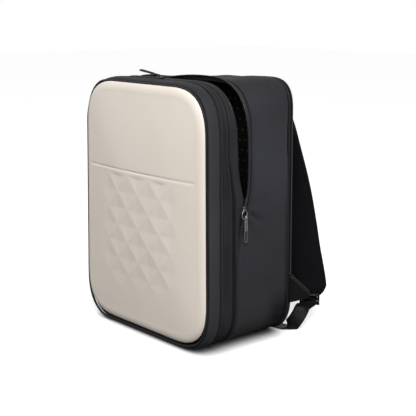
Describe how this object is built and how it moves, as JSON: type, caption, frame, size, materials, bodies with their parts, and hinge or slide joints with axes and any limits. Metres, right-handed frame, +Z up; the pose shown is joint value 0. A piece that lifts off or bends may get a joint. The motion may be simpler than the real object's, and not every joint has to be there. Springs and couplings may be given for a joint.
{
  "type": "laptop backpack",
  "caption": "Upright laptop backpack with a moulded front tray, a soft body whose zip is part open, padded shoulder straps and hanging webbing.",
  "frame": {"origin": "middle of the base, at floor level", "axes": "+Z up the bag, -Y out of the front tray, +X to the side seen in the picture"},
  "size_m": [0.3234, 0.2924, 0.4327],
  "materials": {
    "moulded_cream": "satin, finely grained moulded shell",
    "black_cloth": "coarse woven cloth with a slight sheen",
    "black_trim": "tight black webbing and piping",
    "zip_tape": "coil zip on woven tape",
    "black_mesh": "padded spacer mesh",
    "lining_cloth": "thin smooth lining with small tan dots",
    "black_plastic": "moulded black plastic",
    "dark_metal": "dark plated zip slider metal"
  },
  "bodies": {
    "root": {"front_shell": "moulded_cream", "shell_piping": "black_trim", "front_gusset": "black_cloth", "front_zip": "zip_tape", "middle_gusset": "black_cloth", "main_zip_front_tape": "zip_tape", "main_zip_rear_tape": "zip_tape", "rear_gusset": "black_cloth", "back_piping": "black_trim", "back_panel": "black_mesh", "lining": "lining_cloth", "shoulder_strap_right": "black_mesh", "ladder_lock_right": "black_plastic", "wing_tab_right": "black_cloth", "strap_webbing_right": "black_trim", "main_zip_right_slider": "dark_metal", "main_zip_right_eye": "dark_metal", "main_zip_right_pull": "dark_metal", "main_zip_right_loop": "black_trim", "shoulder_strap_left": "black_mesh", "ladder_lock_left": "black_plastic", "wing_tab_left": "black_cloth", "strap_webbing_left": "black_trim", "main_zip_left_slider": "dark_metal", "main_zip_left_eye": "dark_metal", "main_zip_left_pull": "dark_metal", "main_zip_left_loop": "black_trim", "front_zip_slider": "dark_metal", "front_zip_eye": "dark_metal", "front_zip_pull": "dark_metal", "front_zip_loop": "black_trim"}
  },
  "joints": []
}
